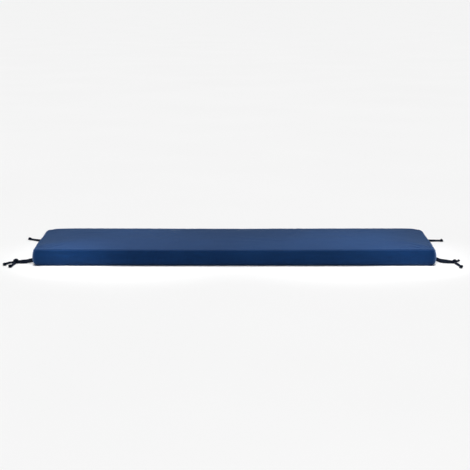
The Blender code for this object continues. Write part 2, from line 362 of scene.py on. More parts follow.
# A tie's widths are distances along it with the width there. Its roll, in degrees, is given the same way.
ties = (
    {
        "name": "tieFrontLeftA",
        "nodes": ("tie_front_left_strand_a", "tie_front_left_end_b"),
        "width": 0.0100,
        "exit": (-0.7513, -0.1925, 0.0112),
        "route": (
            (-0.7485, -0.1924, 0.0118), (-0.7513, -0.1925, 0.0112), (-0.7650, -0.1932, 0.0092),
            (-0.7790, -0.1945, 0.0070), (-0.7940, -0.1952, 0.0066), (-0.8085, -0.1948, 0.0064),
            (-0.8170, -0.1925, 0.0074), (-0.8210, -0.1955, 0.0072), (-0.8207, -0.2014, 0.0050),
            (-0.8212, -0.2120, 0.0019), (-0.8245, -0.2330, 0.0019), (-0.8262, -0.2550, 0.0019),
            (-0.8300, -0.2775, 0.0030),
        ),
        "widths": (
            (0.0, 0.0120), (0.045, 0.0118), (0.060, 0.0108),
            (0.078, 0.0088), (0.110, 0.0086), (0.30, 0.0086),
        ),
        "roll": (
            (0.0, -58.0), (0.02, -52.0), (0.04, -68.0), (0.062, -66.0),
            (0.08, -42.0), (0.11, -34.0), (0.14, -18.0), (0.30, -14.0),
        ),
        "tip": 0.0140,
        "knot": "knotFrontLeft",
    },
    {
        "name": "tieFrontLeftB",
        "nodes": ("tie_front_left_strand_b", "tie_front_left_end_a"),
        "width": 0.0100,
        "exit": (-0.7525, -0.1690, 0.0122),
        "route": (
            (-0.7495, -0.1690, 0.0130), (-0.7525, -0.1690, 0.0122), (-0.7650, -0.1688, 0.0098),
            (-0.7790, -0.1712, 0.0071), (-0.7940, -0.1778, 0.0066), (-0.8085, -0.1848, 0.0064),
            (-0.8180, -0.1880, 0.0076), (-0.8250, -0.1905, 0.0070), (-0.8308, -0.1925, 0.0052),
            (-0.8390, -0.1965, 0.0019), (-0.8480, -0.2080, 0.0019), (-0.8530, -0.2230, 0.0019),
            (-0.8572, -0.2395, 0.0030),
        ),
        "widths": (
            (0.0, 0.0120), (0.050, 0.0114), (0.064, 0.0104),
            (0.086, 0.0088), (0.110, 0.0086), (0.30, 0.0086),
        ),
        "roll": (
            (0.0, -58.0), (0.03, -66.0), (0.066, -64.0),
            (0.09, -58.0), (0.12, -40.0), (0.30, -30.0),
        ),
        "tip": 0.0135,
    },
    {
        "name": "tieFrontRightA",
        "nodes": ("tie_front_right_strand_a", "tie_front_right_end_a"),
        "width": 0.0100,
        "exit": (0.7521, -0.1830, 0.0152),
        "route": (
            (0.7495, -0.1828, 0.0162), (0.7521, -0.1830, 0.0152), (0.7620, -0.1838, 0.0132),
            (0.7750, -0.1862, 0.0080), (0.7960, -0.1905, 0.0066), (0.8178, -0.1920, 0.0056),
            (0.8240, -0.1905, 0.0070), (0.8272, -0.1930, 0.0068), (0.8275, -0.1972, 0.0046),
            (0.8282, -0.2090, 0.0019), (0.8335, -0.2340, 0.0019), (0.8370, -0.2600, 0.0019),
            (0.8362, -0.2895, 0.0030),
        ),
        "widths": (
            (0.0, 0.0130), (0.050, 0.0120), (0.068, 0.0108),
            (0.088, 0.0086), (0.110, 0.0087), (0.30, 0.0088),
        ),
        "roll": (
            (0.0, 58.0), (0.02, 64.0), (0.05, 58.0), (0.07, 68.0),
            (0.085, 44.0), (0.12, 32.0), (0.15, 18.0), (0.30, 14.0),
        ),
        "tip": 0.0140,
        "knot": "knotFrontRight",
    },
    {
        "name": "tieFrontRightB",
        "nodes": ("tie_front_right_strand_b", "tie_front_right_end_b"),
        "width": 0.0095,
        "exit": (0.7531, -0.1590, 0.0142),
        "route": (
            (0.7500, -0.1590, 0.0150), (0.7531, -0.1590, 0.0142), (0.7640, -0.1592, 0.0115),
            (0.7770, -0.1625, 0.0075), (0.7970, -0.1730, 0.0066), (0.8178, -0.1840, 0.0056),
            (0.8280, -0.1872, 0.0072), (0.8374, -0.1838, 0.0074), (0.8420, -0.1798, 0.0084),
            (0.8465, -0.1742, 0.0096),
        ),
        "widths": (
            (0.0, 0.0120), (0.055, 0.0112), (0.072, 0.0100),
            (0.088, 0.0080), (0.105, 0.0088), (0.30, 0.0088),
        ),
        "roll": ((0.0, 58.0), (0.03, 66.0), (0.06, 60.0), (0.09, 46.0), (0.30, 52.0)),
        "tip": None,
    },
    {
        "name": "tieBackLeft",
        "nodes": ("tie_back_left",),
        "width": 0.0100,
        "exit": (-0.7425, 0.2300, 0.0120),
        "route": (
            (-0.7400, 0.2275, 0.0126), (-0.7425, 0.2300, 0.0120), (-0.7490, 0.2385, 0.0100),
            (-0.7620, 0.2530, 0.0062), (-0.7910, 0.2800, 0.0019), (-0.8220, 0.3080, 0.0019),
            (-0.8455, 0.3255, 0.0030),
        ),
        "widths": ((0.0, 0.0125), (0.060, 0.0108), (0.30, 0.0090)),
        "roll": ((0.0, -82.0), (0.03, -70.0), (0.07, -48.0), (0.11, -28.0), (0.30, -20.0)),
        "tip": 0.0135,
    },
    {
        "name": "tieBackRight",
        "nodes": ("tie_back_right",),
        "width": 0.0100,
        "exit": (0.7426, 0.2301, 0.0120),
        "route": (
            (0.7399, 0.2274, 0.0126), (0.7426, 0.2301, 0.0120), (0.7495, 0.2385, 0.0100),
            (0.7640, 0.2540, 0.0062), (0.7910, 0.2760, 0.0019), (0.8210, 0.2840, 0.0019),
            (0.8525, 0.2828, 0.0030),
        ),
        "widths": ((0.0, 0.0125), (0.060, 0.0108), (0.30, 0.0090)),
        "roll": ((0.0, 82.0), (0.03, 70.0), (0.07, 48.0), (0.11, 28.0), (0.30, 20.0)),
        "tip": 0.0135,
    },
)


def tapeSection(width, thickness, sides):
    # A flat section with round edges, a little thinner along its line of sewing.
    turn = 2 * math.pi * (np.arange(sides) + 0.5) / sides
    across = np.sign(np.cos(turn)) * np.abs(np.cos(turn)) ** 0.8 * width / 2
    over = np.sign(np.sin(turn)) * np.abs(np.sin(turn)) ** 0.55 * thickness / 2
    sewn = hump(across - tape["sewnAt"] * width, tape["sewnWidth"] * width)
    return across, over * (1 - tape["sewnDip"] * sewn)


def sweepRings(middles, sides, ups, widths, thicknesses, count, closed):
    points, faces, maps = [], [], []
    travel = np.concatenate([[0.0], np.cumsum(np.linalg.norm(np.diff(middles, axis=0), axis=1))])
    for middle, side, up, width, thickness in zip(middles, sides, ups, widths, thicknesses):
        across, over = tapeSection(width, thickness, count)
        points.append(middle + across[:, None] * side + over[:, None] * up)
    points = np.array(points)
    rings = len(middles)
    last = rings if closed else rings - 1
    girth = np.linspace(0, 2 * (np.mean(widths) + np.mean(thicknesses)), count + 1)
    span = travel[-1] + np.linalg.norm(middles[0] - middles[-1])
    distances = np.append(travel, span)
    for ring in range(last):
        low, high = ring * count, (ring + 1) % rings * count
        here, there = distances[ring], distances[ring + 1]
        for step in range(count):
            ahead = (step + 1) % count
            faces.append((low + step, low + ahead, high + ahead, high + step))
            near, far = girth[step], girth[step + 1]
            maps += [(here, near), (here, far), (there, far), (there, near)]
    if not closed:
        for ring in (0, rings - 1):
            faces.append(tuple(range(ring * count, (ring + 1) * count)))
            maps += flatMap(points[ring])
    return points.reshape(-1, 3), faces, maps


def makeTape(tie):
    middles, along = smoothRoute(tie["route"], tape["spacing"])
    length = along[-1]
    ahead = unit(np.gradient(middles, axis=0))
    side = unit(np.cross((0, 0, 1), ahead))
    up = np.cross(ahead, side)
    roll = np.radians(np.interp(along, *zip(*tie["roll"])))[:, None]
    rolledSide = side * np.cos(roll) + up * np.sin(roll)
    rolledUp = up * np.cos(roll) - side * np.sin(roll)
    # The tape's edges wave slightly, and it is gathered where it is narrow.
    wave = 1 + tape["edgeWave"] * np.sin(along / 0.0065 + 9 * tie["width"]) * np.sin(along / 0.017)
    widths = np.interp(along, *zip(*tie["widths"])) * wave
    thicknesses = tape["thickness"] * (tape["sewnOnWidth"] / widths) ** 0.7
    drop = np.abs(rolledSide[:, 2]) * widths / 2 + np.abs(rolledUp[:, 2]) * thicknesses / 2
    middles[:, 2] = np.maximum(middles[:, 2], tape["floorGap"] + drop)
    rings = sweepRings(middles, rolledSide, rolledUp, widths, thicknesses, tape["sides"], False)
    piece = finishTape(tie["name"], [rings])
    # The stitches stand a little out of the tape's upper side.
    sewing = middles + rolledSide * (tape["sewnAt"] * widths)[:, None]
    sewing = sewing + rolledUp * (tape["sewingLift"] * thicknesses)[:, None]
    sewing = sewing[tape["unsewnStart"] : -tape["unsewnEnd"]]
    return piece, middles, length, sewing, (middles[-1], ahead[-1])


def knotLoop(centre, first, second, width, thickness, phase, steps=56, sides=18):
    # A closed band round the two given half axes, uneven along its way.
    turn = np.linspace(0, 2 * math.pi, steps, endpoint=False)
    first, second = np.array(first, float), np.array(second, float)
    normal = unit(np.cross(first, second))
    swell = 1 + 0.08 * np.sin(2 * turn + phase)
    middles = centre + (np.cos(turn)[:, None] * first + np.sin(turn)[:, None] * second) * swell[:, None]
    ahead = unit(np.roll(middles, -1, axis=0) - np.roll(middles, 1, axis=0))
    ups = unit(np.cross(ahead, normal))
    widths = width * (1 + 0.10 * np.sin(3 * turn + phase))
    thicknesses = thickness * (1 + 0.12 * np.cos(2 * turn - phase))
    return sweepRings(middles, np.tile(normal, (steps, 1)), ups, widths, thicknesses, sides, True)


def finishTape(name, parts):
    # One piece of tape cloth out of its parts, kept clear of the floor.
    points, faces, maps = [], [], []
    for partPoints, partFaces, partMaps in parts:
        start = sum(len(group) for group in points)
        points.append(partPoints)
        faces += [tuple(index + start for index in face) for face in partFaces]
        maps += partMaps
    points = np.concatenate(points)
    points[:, 2] = np.maximum(points[:, 2], tape["floorGap"])
    return finishMesh(name, points, faces, tapeMaterial, maps)


def makeLump(centre, half, rings=10, sides=18):
    points = [centre - np.array((0, 0, half[2]))]
    for ring in range(1, rings):
        rise = math.pi * (ring / rings - 0.5)
        for step in range(sides):
            turn = 2 * math.pi * step / sides
            out = np.array((math.cos(turn) * math.cos(rise), math.sin(turn) * math.cos(rise), math.sin(rise)))
            points.append(centre + out * half)
    points.append(centre + np.array((0, 0, half[2])))
    faces = []
    top = len(points) - 1
    for step in range(sides):
        ahead = (step + 1) % sides
        faces.append((0, 1 + ahead, 1 + step))
        faces.append((top, top - sides + step, top - sides + ahead))
        for ring in range(rings - 2):
            here = 1 + ring * sides
            faces.append((here + step, here + ahead, here + sides + ahead, here + sides + step))
    points = np.array(points)
    return points, faces, flatMap(points[index] for face in faces for index in face)


# The two knots that join the tapes of a front tie, as crossing turns of tape round a core.
knots = (
    {
        "name": "knotFrontLeft",
        "node": "tie_front_left_knot",
        "centre": (-0.8195, -0.1900, 0.0098),
        "half": (0.0094, 0.0102, 0.0086),
    },
    {
        "name": "knotFrontRight",
        "node": "tie_front_right_knot",
        "centre": (0.8265, -0.1880, 0.0084),
        "half": (0.0076, 0.0083, 0.0073),
    },
)


def makeKnot(knot):
    # The bands cross slantwise, and the lengths below are shares of the knot's half sizes.
    centre, half = np.array(knot["centre"]), np.array(knot["half"])
    x, y, z = half
    slant = 0.42
    under = (centre, (x * slant, y * 0.86, 0), (0, 0, z * 0.86), x * 0.92, 0.0027)
    beside = centre + half * (0.10, -0.12, 0.0)
    over = (beside, (x * 0.88, -y * slant, 0), (0, y * 0.10, z * 0.80), y * 0.84, 0.0026)
    parts = [makeLump(centre, half * 0.80), knotLoop(*under, phase=0.6), knotLoop(*over, phase=2.1)]
    return finishTape(knot["name"], parts)


def makeTip(name, end, ahead, size):
    # A small knot a little way back from the end of a tape, with lengths as shares of its size.
    ahead = unit(ahead)
    side = unit(np.cross((0, 0, 1), ahead))
    centre = end - ahead * size * 0.55
    centre[2] = tape["floorGap"] + size * 0.40
    ahead, side, upward = ahead * size * 0.36, side * size * 0.40, np.array((0.0, 0.0, size * 0.34))
    under = (centre, side + ahead * 0.45, upward, size * 0.40, 0.0024)
    over = (centre, side * 0.9 - ahead * 0.55, upward * 0.86, size * 0.36, 0.0023)
    parts = [
        knotLoop(*under, phase=0.4, steps=40, sides=14),
        knotLoop(*over, phase=1.9, steps=40, sides=14),
        makeLump(centre, size * np.array((0.30, 0.30, 0.31)), 8, 14),
    ]
    return finishTape(name, parts)


def groupSockets(tree, wanted):
    tree.interface.new_socket("Geometry", in_out="INPUT", socket_type="NodeSocketGeometry")
    for name, kind in wanted:
        tree.interface.new_socket(name, in_out="INPUT", socket_type=kind)
    tree.interface.new_socket("Geometry", in_out="OUTPUT", socket_type="NodeSocketGeometry")
    return tree.nodes.new("NodeGroupInput"), tree.nodes.new("NodeGroupOutput")


def finishGroup(tree, geometry, material, end):
    real = addNode(tree, "GeometryNodeRealizeInstances", {}, {"Geometry": geometry})
    dressed = addNode(tree, "GeometryNodeSetMaterial", {}, {"Geometry": real, "Material": material})
    feed(tree, end.inputs["Geometry"], dressed)
    return tree


def runGroup(piece, tree, values):
    # Sets the inputs by their identifiers, then keeps the result as a plain mesh.
    modifier = piece.modifiers.new("group", "NODES")
    modifier.node_group = tree
    for item in tree.interface.items_tree:
        if item.item_type == "SOCKET" and item.in_out == "INPUT" and item.name in values:
            modifier[item.identifier] = values[item.name]
    bpy.context.view_layer.update()
    graph = bpy.context.evaluated_depsgraph_get()
    shown = piece.evaluated_get(graph)
    result = bpy.data.meshes.new_from_object(shown, preserve_all_data_layers=True, depsgraph=graph)
    piece.modifiers.remove(modifier)
    old = piece.data
    piece.data = result
    result.name = piece.name
    bpy.data.meshes.remove(old)
    return piece


def makeStitchGroup():
    # Short raised stitches, end to end along a line.
    tree = bpy.data.node_groups.new("stitches", "GeometryNodeTree")
    sizes = [(name, "NodeSocketFloat") for name in ("Pitch", "Stitch Length", "Thread Radius")]
    start, end = groupSockets(tree, [*sizes, ("Thread", "NodeSocketMaterial")])
    inputs = {name: Field(tree, start.outputs[name]) for name, kind in sizes}
    line = addNode(tree, "GeometryNodeMeshToCurve", {}, {"Mesh": start.outputs["Geometry"]})
    spaced = {"Curve": line, "Length": inputs["Pitch"]}
    even = addNode(tree, "GeometryNodeResampleCurve", {"mode": "LENGTH"}, spaced)
    ball = {"Segments": 6, "Rings": 6, "Radius": inputs["Thread Radius"]}
    stitch = addNode(tree, "GeometryNodeMeshUVSphere", {}, ball)
    longer = inputs["Stitch Length"] / inputs["Thread Radius"] * 0.5
    scale = addNode(tree, "ShaderNodeCombineXYZ", {}, {0: 1.0, 1: 1.0, 2: longer})
    tangent = addNode(tree, "GeometryNodeInputTangent")
    turned = addNode(tree, "FunctionNodeAlignRotationToVector", {"axis": "Z"}, {"Vector": tangent})
    copies = {"Points": even, "Instance": stitch, "Rotation": turned, "Scale": scale}
    placed = addNode(tree, "GeometryNodeInstanceOnPoints", {}, copies)
    return finishGroup(tree, placed, start.outputs["Thread"], end)


threadFinish = {
    "name": "thread",
    "colour": (0.020, 0.034, 0.075),
    "darkShare": 0.6,
    "twistScale": 3000.0,
    "twistDepth": 0.0001,
    "roughness": 0.55,
}


def makeThread():
    material, tree, shader = startMaterial(threadFinish["name"])
    place = addNode(tree, "ShaderNodeTexCoord", output=3)
    twist = addNoise(tree, place, threadFinish["twistScale"], 1.0)
    dark = tuple(value * threadFinish["darkShare"] for value in threadFinish["colour"])
    height = {"Strength": 0.6, "Distance": threadFinish["twistDepth"], "Height": twist}
    feed(tree, shader.inputs["Base Color"], mixColours(tree, twist, dark, threadFinish["colour"]))
    feed(tree, shader.inputs["Normal"], addNode(tree, "ShaderNodeBump", {}, height))
    shader.inputs["Roughness"].default_value = threadFinish["roughness"]
    return material


threadMaterial = makeThread()
stitchGroup = makeStitchGroup()
stitching = {"Pitch": 0.0032, "Stitch Length": 0.0026, "Thread Radius": 0.00022, "Thread": threadMaterial}


def makeStitches(name, line):
    edges = [(step, step + 1) for step in range(len(line) - 1)]
    piece = placeObject(name, startMesh(name, line, edges, []))
    runGroup(piece, stitchGroup, stitching)
    piece.data.polygons.foreach_set("use_smooth", [True] * len(piece.data.polygons))
    return piece


def dress(piece, slot, *nodes):
    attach(piece, "root")
    if nodes:
        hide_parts(*nodes)


knotPieces = {knot["name"]: makeKnot(knot) for knot in knots}
for knot in knots:
    dress(knotPieces[knot["name"]], "ties", knot["node"])
for tie in ties:
    piece, middles, length, sewing, end = makeTape(tie)
    dress(piece, "ties", *tie["nodes"])
    stitches = makeStitches(tie["name"] + "Stitches", sewing)
    dress(stitches, "ties")
    if tie["tip"]:
        tip = makeTip(tie["name"] + "Tip", *end, tie["tip"])
        dress(tip, "ties")
print("ties made")

# The pad's form, from the same sizes as its solid.
pad = {
    "length": 1.500,
    "depth": 0.480,
    "frontCorner": 0.015,
    "backCorner": 0.046,
    "seam": 0.0615,
    "crown": 0.0142,
    "rollWidth": 0.020,
    "rollShare": 0.24,
    "crownReach": 0.165,
    "midSag": 0.0015,
    "droopMiddle": 0.050,
    "droopHalfDepth": 0.160,
    "endBow": 0.0080,
    "ends": ({"side": -1, "droop": 0.0065, "reach": 0.085}, {"side": 1, "droop": 0.0055, "reach": 0.050}),
    "swells": table(
        "x y halfLength halfDepth height",
        (-0.400, 0.165, 0.170, 0.080, 0.0041),
        (0.330, 0.165, 0.190, 0.080, 0.0043),
        (-0.040, -0.060, 0.260, 0.110, -0.0020),
        (-0.520, -0.110, 0.120, 0.070, 0.0018),
        (0.560, -0.080, 0.140, 0.090, 0.0016),
        (0.170, 0.020, 0.110, 0.120, 0.0010),
        (-0.655, -0.150, 0.085, 0.060, 0.0034),
        (0.665, -0.150, 0.080, 0.060, 0.0030),
    ),
    # Each row is a share of the seam's height, and how far the boxing stands out there.
    "boxing": (
        (0.000, -0.0085),
        (0.018, -0.0054),
        (0.050, -0.0026),
        (0.095, -0.0002),
        (0.150, 0.0022),
        (0.240, 0.0044),
        (0.400, 0.0060),
        (0.580, 0.0060),
        (0.760, 0.0045),
        (0.900, 0.0021),
        (0.965, 0.0004),
        (1.000, -0.0012),
    ),
    "lowerSeamShare": 0.095,
    "drawIn": 0.0012,
    "drawInReach": 0.004,
    "underRings": (0.022, 0.011),
}
# How finely the cover is cut up: the first gap between lines, the widest one, and how each gap grows.
fineness = {
    "shown": {"top": (0.0008, 0.0042, 1.25), "boxing": (0.0008, 0.0021, 1.25)},
    "simulated": {"top": (0.0100, 0.0101, 1.1), "boxing": (0.0090, 0.0095, 1.1)},
}


def smoothStep(value):
    value = np.clip(value, 0, 1)
    return value * value * (3 - 2 * value)


def seamHeight(x, y):
    height = pad["seam"] - pad["midSag"] * np.cos(np.pi * x / pad["length"]) ** 2
    share = hump(y - pad["droopMiddle"], pad["droopHalfDepth"])
    for end in pad["ends"]:
        distance = np.maximum(pad["length"] / 2 - end["side"] * x, 0)
        height = height - end["droop"] * share * hump(distance, end["reach"])
    return height


def topHeight(x, y, inset):
    roll = 1 - np.exp(-inset / pad["rollWidth"])
    slow = smoothStep(inset / pad["crownReach"])
    rise = pad["crown"] * (pad["rollShare"] * roll + (1 - pad["rollShare"]) * slow)
    for swell in pad["swells"]:
        along = (x - swell["x"]) / swell["halfLength"]
        across = (y - swell["y"]) / swell["halfDepth"]
        rise = rise + swell["height"] * roll * np.exp(-along * along - across * across)
    return seamHeight(x, y) + rise


def gridLines(half, near, far, grow):
    steps, reach, gap = [0.0], 0.0, near
    while gap < far:
        reach += gap
        steps.append(reach)
        gap *= grow
    inner = np.linspace(reach, 2 * half - reach, max(2, round((2 * half - 2 * reach) / far)) + 1)
    steps = np.array(steps)
    return np.concatenate([steps[:-1], inner, 2 * half - steps[-2::-1]]) - half


def roundPlaces(gridX, gridY):
    # Moves a plain grid's points onto rounded rectangles, ring by ring.
    halfX, halfY = pad["length"] / 2, pad["depth"] / 2
    inset = np.minimum(halfX - np.abs(gridX), halfY - np.abs(gridY))
    ringX, ringY = halfX - inset, halfY - inset
    corner = np.where(gridY > 0, pad["backCorner"], pad["frontCorner"])
    radius = np.maximum(corner - inset, 0)
    onEnd = (halfX - np.abs(gridX)) <= (halfY - np.abs(gridY))
    fromCorner = np.where(onEnd, ringY - np.abs(gridY), ringX - np.abs(gridX))
    part = np.where(radius > 0, np.clip(1 - fromCorner / np.maximum(radius, 1e-9), 0, 1), 0)
    angle = np.where(onEnd, part, 2 - part) * np.pi / 4
    bent = part > 0
    x = np.where(bent, ringX - radius + radius * np.cos(angle), np.abs(gridX))
    y = np.where(bent, ringY - radius + radius * np.sin(angle), np.abs(gridY))
    signX, signY = np.sign(gridX), np.sign(gridY)
    outX = np.where(bent, np.cos(angle), np.where(onEnd, 1.0, 0.0)) * signX
    outY = np.where(bent, np.sin(angle), np.where(onEnd, 0.0, 1.0)) * signY
    bow = pad["endBow"] * (smoothStep((y * signY + halfY) / halfY) - 0.5)
    x = x * signX + outX * bow * (1 - inset / halfY)
    return x, y * signY, outX, outY, inset


def buildPad(grid):
    linesX = gridLines(pad["length"] / 2, *grid["top"])
    linesY = gridLines(pad["depth"] / 2, *grid["top"])
    countX, countY = len(linesX), len(linesY)
    seamX, seamY, outX, outY, inset = roundPlaces(*np.meshgrid(linesX, linesY, indexing="ij"))
    drawIn = pad["drawIn"] * np.exp(-inset / pad["drawInReach"])
    x, y = seamX - outX * drawIn, seamY - outY * drawIn
    top = np.stack([x, y, topHeight(x, y, inset)], axis=-1)
    # The loop goes round the top's edge, anticlockwise, from the middle of the back.
    columns = np.arange(countX) * countY
    rows = np.arange(countY)
    sides = [columns, columns[-1] + rows[1:], columns[:-1][::-1] + countY - 1, rows[1:-1][::-1]]
    loop = np.roll(np.concatenate(sides), -(countX + countY - 1 + countX // 2))
    flatOut = np.stack([outX, outY], axis=-1).reshape(-1, 2)[loop]
    edge = np.stack([seamX, seamY], axis=-1).reshape(-1, 2)[loop]
    seam = seamHeight(edge[:, 0], edge[:, 1])
    profile, travel = smoothRoute([(share * pad["seam"], out) for share, out in pad["boxing"]], 0.0001)
    picks = (gridLines(travel[-1] / 2, *grid["boxing"]) + travel[-1] / 2)[:-1]
    boxingRows = len(picks)
    shares = np.interp(picks, travel, profile[:, 0]) / pad["seam"]
    outs = np.interp(picks, travel, profile[:, 1])
    flat = np.zeros(len(edge))
    boxing = [np.column_stack([edge + flatOut * out, share * seam]) for share, out in zip(shares, outs)]
    under = [np.column_stack([edge - flatOut * inward, flat]) for inward in pad["underRings"]]
    points = np.concatenate([top.reshape(-1, 3), *boxing, *under])
    lengths = np.linalg.norm(np.diff(np.vstack([edge, edge[:1]]), axis=0), axis=1)
    around = np.concatenate([[0.0], np.cumsum(lengths)])
    size = len(loop)
    boxingStart = countX * countY
    underStart = boxingStart + boxingRows * size
    starts = [underStart, underStart + size, *(boxingStart + row * size for row in range(boxingRows))]
    rings = [*(np.arange(start, start + size) for start in starts), loop]
    heights = [*(-inward for inward in pad["underRings"]), *picks, travel[-1]]
    faces, maps = [], []
    for column in range(countX - 1):
        for row in range(countY - 1):
            here = column * countY + row
            face = (here, here + countY, here + countY + 1, here + 1)
            faces.append(face)
            maps += flatMap(points[list(face)])
    for low, high, below, above in zip(rings, rings[1:], heights, heights[1:]):
        for step in range(size):
            ahead = (step + 1) % size
            here, there = around[step], around[step + 1]
            faces.append((low[step], low[ahead], high[ahead], high[step]))
            maps += [(here, below), (there, below), (there, above), (here, above)]
    faces.append(tuple(rings[0][::-1]))
    maps += flatMap(points[rings[0][::-1]])
    # For each point: how far it is from the top seam and the lower seam, and the nearest place on the seam.
    lowerAt = np.interp(pad["lowerSeamShare"] * pad["seam"], profile[:, 0], travel)
    onTop, onUnder = np.full(countX * countY, 1.0), np.full(2 * size, 1.0)
    seamGap = np.concatenate([inset.ravel(), np.repeat(picks - travel[-1], size), -onUnder])
    lowerGap = np.concatenate([onTop, np.repeat(picks - lowerAt, size), -0.02 * onUnder])
    topBeside = np.stack([x + outX * inset, y + outY * inset], axis=-1).reshape(-1, 2)
    beside = np.concatenate([topBeside, np.tile(edge, (boxingRows + 2, 1))])
    return {
        "points": points,
        "faces": [tuple(int(index) for index in face) for face in faces],
        "maps": maps,
        "shape": (countX, countY),
        "lines": (linesX, linesY),
        "size": size,
        "rows": boxingRows,
        "around": around,
        "picks": picks / travel[-1],
        "seamGap": seamGap,
        "lowerGap": lowerGap,
        "beside": beside,
        "inset": inset.ravel(),
        "inner": np.stack([x - outX, y - outY], axis=-1).reshape(-1, 2),
        "seamLoop": loop,
    }


# Cloth simulation of the cover over its filling: held at the seams, loosest near the corners.
cloth = {
    "frames": 20,
    "topHold": 0.10,
    "boxingHold": 0.12,
    "looseMost": 0.10,
    "looseLeast": 0.012,
    "looseReach": 0.12,
    "heldBesideSeam": 0.001,
    "heldOverLowerSeam": 0.004,
    "broadPasses": 14,
    "broadShare": 0.6,
    "mostMove": 0.0028,
}
# The settings of the cloth itself, under Blender's own names for them.
clothPhysics = {
    "quality": 6,
    "mass": 0.15,
    "tension_stiffness": 25,
    "compression_stiffness": 25,
    "shear_stiffness": 12,
    "bending_stiffness": 0.4,
    "use_pressure": True,
    "uniform_pressure_force": 4.0,
    "vertex_group_mass": "hold",
    "pin_stiffness": 1,
    "vertex_group_shrink": "loose",
    "shrink_min": 0,
    "shrink_max": -cloth["looseMost"],
}


def simulate(coarse):
    mesh = startMesh("simulated", coarse["points"], [], coarse["faces"])
    faceOut(mesh, mostCorners=4)
    piece = placeObject("simulated", mesh)
    points, gap = coarse["points"], coarse["seamGap"]
    hold = np.where(gap > 0, cloth["topHold"], cloth["boxingHold"])
    held = (np.abs(gap) < cloth["heldBesideSeam"]) | (coarse["lowerGap"] < cloth["heldOverLowerSeam"])
    hold = np.where(held, 1.0, hold)
    cornerX = np.maximum(pad["length"] / 2 - np.abs(points[:, 0]), 0)
    cornerY = np.maximum(pad["depth"] / 2 - np.abs(points[:, 1]), 0)
    loose = np.exp(-cornerX / cloth["looseReach"]) * np.exp(-cornerY / cloth["looseReach"])
    loose = cloth["looseLeast"] + (cloth["looseMost"] - cloth["looseLeast"]) * loose
    for name, weights in (("hold", hold), ("loose", loose / cloth["looseMost"])):
        group = piece.vertex_groups.new(name=name)
        for index, weight in enumerate(weights):
            group.add([index], float(weight), "REPLACE")
    modifier = piece.modifiers.new("cloth", "CLOTH")
    for key, value in clothPhysics.items():
        setattr(modifier.settings, key, value)
    modifier.settings.effector_weights.gravity = 0
    modifier.point_cache.frame_start = 1
    modifier.point_cache.frame_end = cloth["frames"]
    scene = bpy.context.scene
    for step in range(1, cloth["frames"] + 1):
        scene.frame_set(step)
    graph = bpy.context.evaluated_depsgraph_get()
    result = piece.evaluated_get(graph).to_mesh()
    moved = np.empty(len(result.vertices) * 3, np.float32)
    result.vertices.foreach_get("co", moved)
    move = moved.reshape(-1, 3)[: len(points)] - points
    piece.evaluated_get(graph).to_mesh_clear()
    scene.frame_set(1)
    bpy.data.objects.remove(piece)
    return move


def blurred(values, axis, wrap):
    if wrap:
        before, after = np.roll(values, 1, axis), np.roll(values, -1, axis)
        return (before + 2 * values + after) / 4
    inner = np.swapaxes(values, 0, axis).copy()
    inner[1:-1] = (inner[:-2] + 2 * inner[1:-1] + inner[2:]) / 4
    return np.swapaxes(inner, 0, axis)


def gridMove(values, oldLines, newLines):
    # Reads a move off the coarse grid at the fine grid's lines, then smooths it.
    values = np.apply_along_axis(lambda line: np.interp(newLines[0], oldLines[0], line), 0, values)
    values = np.apply_along_axis(lambda line: np.interp(newLines[1], oldLines[1], line), 1, values)
    for _ in range(3):
        values = blurred(blurred(values, 0, False), 1, False)
    return values


def boxingMove(values, coarse, fine):
    rowsOld = np.append(coarse["picks"], 1.0)
    values = np.concatenate([values, np.zeros((1, *values.shape[1:]))])
    values = np.apply_along_axis(lambda line: np.interp(fine["picks"], rowsOld, line), 0, values)
    oldAround = coarse["around"] / coarse["around"][-1]
    newAround = fine["around"][:-1] / fine["around"][-1]
    values = np.concatenate([values, values[:, :1]], axis=1)
    values = np.apply_along_axis(lambda line: np.interp(newAround, oldAround, line), 1, values)
    for _ in range(3):
        values = blurred(blurred(values, 0, False), 1, True)
    return values


def wrinklesOf(move, wrap):
    # Takes the broad puffing out of a move, so that the wrinkles are left.
    broad = move
    for _ in range(cloth["broadPasses"]):
        broad = blurred(blurred(broad, 0, False), 1, wrap)
    move = move - cloth["broadShare"] * broad
    size = np.linalg.norm(move, axis=2)
    print(f"wrinkles {size.mean() * 1000:.2f} mm, at most {size.max() * 1000:.2f} mm")
    return move * np.minimum(1, cloth["mostMove"] / np.maximum(size, 1e-9))[:, :, None]


def transferMove(move, coarse, fine):
    topCount = coarse["shape"][0] * coarse["shape"][1]
    top = wrinklesOf(move[:topCount].reshape(*coarse["shape"], 3), False)
    top = gridMove(top, coarse["lines"], fine["lines"])
    sides = move[topCount : -2 * coarse["size"]].reshape(coarse["rows"], coarse["size"], 3)
    sides = boxingMove(wrinklesOf(sides, True), coarse, fine)
    under = np.zeros((2 * fine["size"], 3))
    return np.concatenate([top.reshape(-1, 3), sides.reshape(-1, 3), under])


